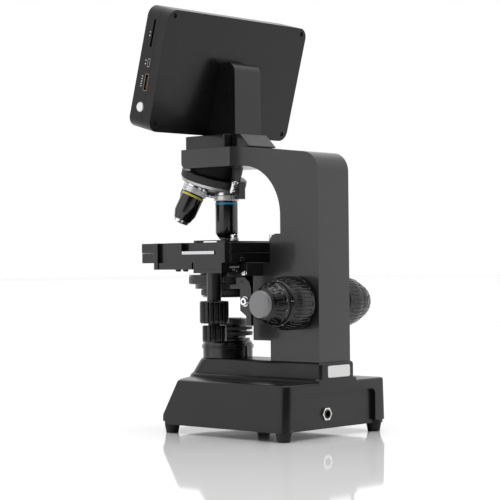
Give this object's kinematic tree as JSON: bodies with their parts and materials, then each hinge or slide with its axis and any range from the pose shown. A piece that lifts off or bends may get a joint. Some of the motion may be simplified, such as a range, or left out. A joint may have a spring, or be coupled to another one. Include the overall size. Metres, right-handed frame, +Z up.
{
  "type": "microscope",
  "caption": "Black digital compound microscope: stepped base with lamp, C-shaped arm, revolving nosepiece with objectives, mechanical stage, condenser, focus knobs and a tilted flat screen.",
  "frame": {"origin": "desk level on the plane of symmetry, 96.5 mm in front of the base's rear edge", "axes": "+Z up; -Y towards the user, who faces the screen; +Y to the rear with the power socket; the optical axis is vertical at y = -0.037 m"},
  "size_m": [0.187, 0.1943, 0.3874],
  "materials": {
    "black_enamel": "satin fine-textured black enamel",
    "bottom_plate": "satin black",
    "rubber": "matte black rubber",
    "screw_steel": "bright",
    "screen_case": "satin anodised black",
    "screen_glass": "glossy dark screen",
    "circuit_board": "green solder mask",
    "black_screws": "black oxide",
    "port_metal": "nickel",
    "lens_glass": "coated optical glass",
    "nosepiece_black": "satin black",
    "lamp_black": "satin black",
    "led_white": "white LED board",
    "socket_black": "black",
    "nut_nickel": "nickel",
    "label_white": "blank white label",
    "bright_steel": "ground steel",
    "bushing_brass": "turned brass",
    "objective_black": "gloss black with silver ring",
    "chrome_tip": "chrome",
    "stage_black": "matte black",
    "knob_black": "moulded black",
    "clip_steel": "spring steel",
    "condenser_black": "satin black",
    "button_silver": "satin silver"
  },
  "bodies": {
    "stand": {"base_housing": "black_enamel", "base_bottom_plate": "bottom_plate", "rubber_feet": "rubber", "base_screws": "screw_steel", "arm": "black_enamel", "head_adapter": "black_enamel", "screen_bracket": "black_enamel", "screen_back_shell": "screen_case", "screen_front_bezel": "screen_case", "screen_panel": "screen_glass", "screen_board": "circuit_board", "screen_screws": "black_screws", "screen_ports": "port_metal", "camera_module": "circuit_board", "relay_lens": "lens_glass", "nosepiece_mount": "nosepiece_black", "nosepiece_pivot": "screw_steel", "nosepiece_detent": "nosepiece_black", "illuminator_housing": "lamp_black", "field_lens": "lens_glass", "led_module": "led_white", "power_board": "circuit_board", "power_socket": "socket_black", "power_socket_nut": "nut_nickel", "rating_plate": "label_white", "focus_guide": "bright_steel", "focus_bushings": "bushing_brass"},
    "nosepiece": {"nosepiece_turret": "nosepiece_black", "objective_4x": "objective_black", "objective_10x": "objective_black", "objective_40x": "objective_black", "objective_100x": "objective_black"},
    "tip_40x": {"objective_40x_tip": "chrome_tip"},
    "tip_100x": {"objective_100x_tip": "chrome_tip"},
    "focus": {"focus_carriage": "black_enamel", "focus_rack": "bright_steel", "stage_lower_plate": "stage_black"},
    "coarse": {"focus_pinion": "bright_steel", "coarse_knob_right": "knob_black", "coarse_knob_left": "knob_black"},
    "fine": {"fine_axle": "bright_steel", "fine_knob_right": "knob_black", "fine_knob_left": "knob_black"},
    "stage": {"stage_upper_plate": "stage_black", "stage_side_rail": "stage_black", "stage_rack_strip": "bright_steel", "stage_gearbox": "stage_black"},
    "knob_y": {"stage_knob_y": "knob_black"},
    "knob_x": {"stage_knob_x": "knob_black"},
    "holder": {"slide_holder": "stage_black", "slide_holder_screws": "screw_steel"},
    "finger": {"slide_finger": "clip_steel"},
    "condenser": {"condenser_bracket": "black_enamel", "condenser_body": "condenser_black", "condenser_lens": "lens_glass"},
    "iris": {"iris_lever": "clip_steel"},
    "condenser_drive": {"condenser_knob": "knob_black"},
    "field": {"field_ring": "lamp_black"},
    "button": {"screen_button": "button_silver"},
    "dial": {"brightness_dial": "screen_case"}
  },
  "joints": [
    {"name": "nosepiece_turn", "type": "hinge", "parent": "stand", "child": "nosepiece", "pos_m": [0, -0.05602, 0.22518], "axis": [0, 0.309, 0.9511], "continuous": true},
    {"name": "tip_40x_press", "type": "slide", "parent": "nosepiece", "child": "tip_40x", "axis": [0, 0, 1], "range_m": [0, 0.0025], "stiffness_N_per_m": 400, "springref_m": -0.002},
    {"name": "tip_100x_press", "type": "slide", "parent": "nosepiece", "child": "tip_100x", "axis": [0.309, 0.2939, 0.9045], "range_m": [0, 0.0025], "stiffness_N_per_m": 400, "springref_m": -0.002},
    {"name": "focus_height", "type": "slide", "parent": "stand", "child": "focus", "axis": [0, 0, 1], "range_m": [-0.012, 0.0008]},
    {"name": "coarse_focus", "type": "hinge", "parent": "stand", "child": "coarse", "pos_m": [0, 0.0684, 0.1182], "axis": [1, 0, 0], "range_deg": [-9, 116]},
    {"name": "fine_focus", "type": "hinge", "parent": "stand", "child": "fine", "pos_m": [0, 0.0684, 0.1182], "axis": [1, 0, 0], "continuous": true},
    {"name": "stage_front_back", "type": "slide", "parent": "focus", "child": "stage", "axis": [0, 1, 0], "range_m": [-0.02, 0.009]},
    {"name": "stage_y_knob", "type": "hinge", "parent": "stage", "child": "knob_y", "pos_m": [0.057, 0.001, 0.11], "axis": [0, 0, 1], "range_deg": [-361, 163]},
    {"name": "stage_left_right", "type": "slide", "parent": "stage", "child": "holder", "axis": [1, 0, 0], "range_m": [-0.025, 0.025]},
    {"name": "stage_x_knob", "type": "hinge", "parent": "stage", "child": "knob_x", "pos_m": [0.057, 0.001, 0.09], "axis": [0, 0, 1], "range_deg": [-451, 451]},
    {"name": "slide_clip", "type": "hinge", "parent": "holder", "child": "finger", "pos_m": [0.044, 0.003, 0.1726], "axis": [0, 0, 1], "range_deg": [0, 30], "stiffness_Nm_per_rad": 0.02, "springref_deg": -17.19},
    {"name": "condenser_height", "type": "slide", "parent": "focus", "child": "condenser", "axis": [0, 0, 1], "range_m": [-0.009, 0]},
    {"name": "condenser_turn", "type": "hinge", "parent": "focus", "child": "condenser_drive", "pos_m": [-0.025, 0.018, 0.11], "axis": [1, 0, 0], "range_deg": [0, 130]},
    {"name": "iris_swing", "type": "hinge", "parent": "condenser", "child": "iris", "pos_m": [0, -0.037, 0.128], "axis": [0, 0, 1], "range_deg": [-28, 28]},
    {"name": "field_diaphragm", "type": "hinge", "parent": "stand", "child": "field", "pos_m": [0, -0.037, 0.095], "axis": [0, 0, 1], "range_deg": [0, 90]},
    {"name": "screen_button_press", "type": "slide", "parent": "stand", "child": "button", "axis": [-1, 0, 0], "range_m": [0, 0.001], "stiffness_N_per_m": 500, "springref_m": -0.0008},
    {"name": "brightness", "type": "hinge", "parent": "stand", "child": "dial", "pos_m": [-0.0744, 0.006, 0.031], "axis": [-1, 0, 0], "range_deg": [0, 270]}
  ],
  "couplings": [
    {"joint": "coarse_focus", "follows": "focus_height", "rad_per_m": -166.67},
    {"joint": "stage_y_knob", "follows": "stage_front_back", "rad_per_m": 314.16},
    {"joint": "stage_x_knob", "follows": "stage_left_right", "rad_per_m": 314.16},
    {"joint": "condenser_turn", "follows": "condenser_height", "rad_per_m": -250}
  ]
}
